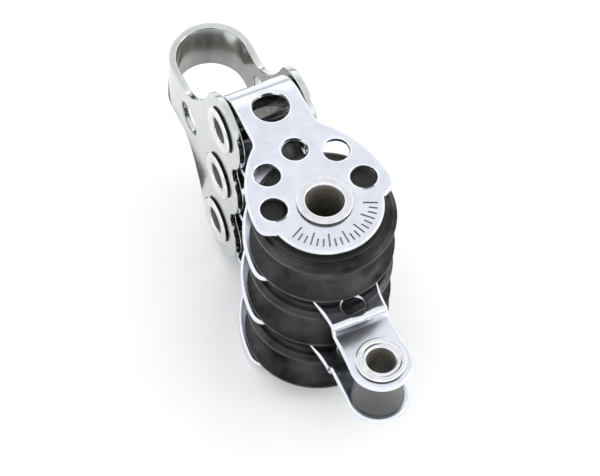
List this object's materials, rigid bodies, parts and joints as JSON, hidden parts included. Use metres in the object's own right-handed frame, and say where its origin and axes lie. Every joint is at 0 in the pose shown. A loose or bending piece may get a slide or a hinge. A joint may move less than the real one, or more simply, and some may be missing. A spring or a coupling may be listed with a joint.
{
  "type": "pulley block",
  "caption": "Small rope block: grooved plastic sheaves side by side on one hollow axle between stamped stainless cheeks, with a fixed bow at the head and a becket at the foot.",
  "frame": {"origin": "centre of the block's outer box: level with the middle sheave, in the plane halfway between the legs of the head strap, halfway from the bow's crown to the ends of the becket arms. The axle's axis is at y = -10.425 mm", "axes": "+Z along the axle, +Y towards the bow at the head, -Y towards the becket, X across the cheeks. The block lies with its axle upright."},
  "size_m": [0.0224, 0.0728, 0.0394],
  "materials": {
    "cheek_steel": "tumbled stainless, satin faces with bright rounded edges",
    "strap_steel": "polished stainless strip",
    "rivet_steel": "bright rolled stainless",
    "race_steel": "turned stainless",
    "black_plastic": "moulded charcoal plastic, soft sheen, faint turning lines",
    "grey_plastic": "moulded mid-grey plastic",
    "ball_plastic": "off-white bearing plastic"
  },
  "bodies": {
    "block_frame": {"cheek_strap_top": "cheek_steel", "cheek_strap_bottom": "cheek_steel", "head_strap": "strap_steel", "axle_rivet": "rivet_steel", "becket_rivet": "rivet_steel", "becket_spool": "grey_plastic", "head_rivet_top": "rivet_steel", "head_sleeve_top": "strap_steel", "inner_race_top": "race_steel", "head_rivet_middle": "rivet_steel", "head_sleeve_middle": "strap_steel", "inner_race_middle": "race_steel", "head_rivet_bottom": "rivet_steel", "head_sleeve_bottom": "strap_steel", "inner_race_bottom": "race_steel"},
    "top_sheave": {"sheave_top": "black_plastic"},
    "top_ball_ring": {"ball_top_1": "ball_plastic", "ball_top_2": "ball_plastic", "ball_top_3": "ball_plastic", "ball_top_4": "ball_plastic", "ball_top_5": "ball_plastic", "ball_top_6": "ball_plastic", "ball_top_7": "ball_plastic", "ball_top_8": "ball_plastic", "ball_top_9": "ball_plastic", "ball_top_10": "ball_plastic", "ball_top_11": "ball_plastic", "ball_top_12": "ball_plastic"},
    "middle_sheave": {"sheave_middle": "black_plastic"},
    "middle_ball_ring": {"ball_middle_1": "ball_plastic", "ball_middle_2": "ball_plastic", "ball_middle_3": "ball_plastic", "ball_middle_4": "ball_plastic", "ball_middle_5": "ball_plastic", "ball_middle_6": "ball_plastic", "ball_middle_7": "ball_plastic", "ball_middle_8": "ball_plastic", "ball_middle_9": "ball_plastic", "ball_middle_10": "ball_plastic", "ball_middle_11": "ball_plastic", "ball_middle_12": "ball_plastic"},
    "bottom_sheave": {"sheave_bottom": "black_plastic"},
    "bottom_ball_ring": {"ball_bottom_1": "ball_plastic", "ball_bottom_2": "ball_plastic", "ball_bottom_3": "ball_plastic", "ball_bottom_4": "ball_plastic", "ball_bottom_5": "ball_plastic", "ball_bottom_6": "ball_plastic", "ball_bottom_7": "ball_plastic", "ball_bottom_8": "ball_plastic", "ball_bottom_9": "ball_plastic", "ball_bottom_10": "ball_plastic", "ball_bottom_11": "ball_plastic", "ball_bottom_12": "ball_plastic"}
  },
  "joints": [
    {"name": "top_sheave_spin", "type": "hinge", "parent": "block_frame", "child": "top_sheave", "pos_m": [0, -0.01043, 0.0123], "axis": [0, 0, 1], "continuous": true},
    {"name": "top_ball_ring_spin", "type": "hinge", "parent": "block_frame", "child": "top_ball_ring", "pos_m": [0, -0.01043, 0.0123], "axis": [0, 0, 1], "continuous": true},
    {"name": "middle_sheave_spin", "type": "hinge", "parent": "block_frame", "child": "middle_sheave", "pos_m": [0, -0.01043, 0], "axis": [0, 0, 1], "continuous": true},
    {"name": "middle_ball_ring_spin", "type": "hinge", "parent": "block_frame", "child": "middle_ball_ring", "pos_m": [0, -0.01043, 0], "axis": [0, 0, 1], "continuous": true},
    {"name": "bottom_sheave_spin", "type": "hinge", "parent": "block_frame", "child": "bottom_sheave", "pos_m": [0, -0.01043, -0.0123], "axis": [0, 0, 1], "continuous": true},
    {"name": "bottom_ball_ring_spin", "type": "hinge", "parent": "block_frame", "child": "bottom_ball_ring", "pos_m": [0, -0.01043, -0.0123], "axis": [0, 0, 1], "continuous": true}
  ],
  "couplings": [
    {"joint": "top_ball_ring_spin", "follows": "top_sheave_spin", "ratio": 0.6147},
    {"joint": "middle_ball_ring_spin", "follows": "middle_sheave_spin", "ratio": 0.6147},
    {"joint": "bottom_ball_ring_spin", "follows": "bottom_sheave_spin", "ratio": 0.6147}
  ]
}
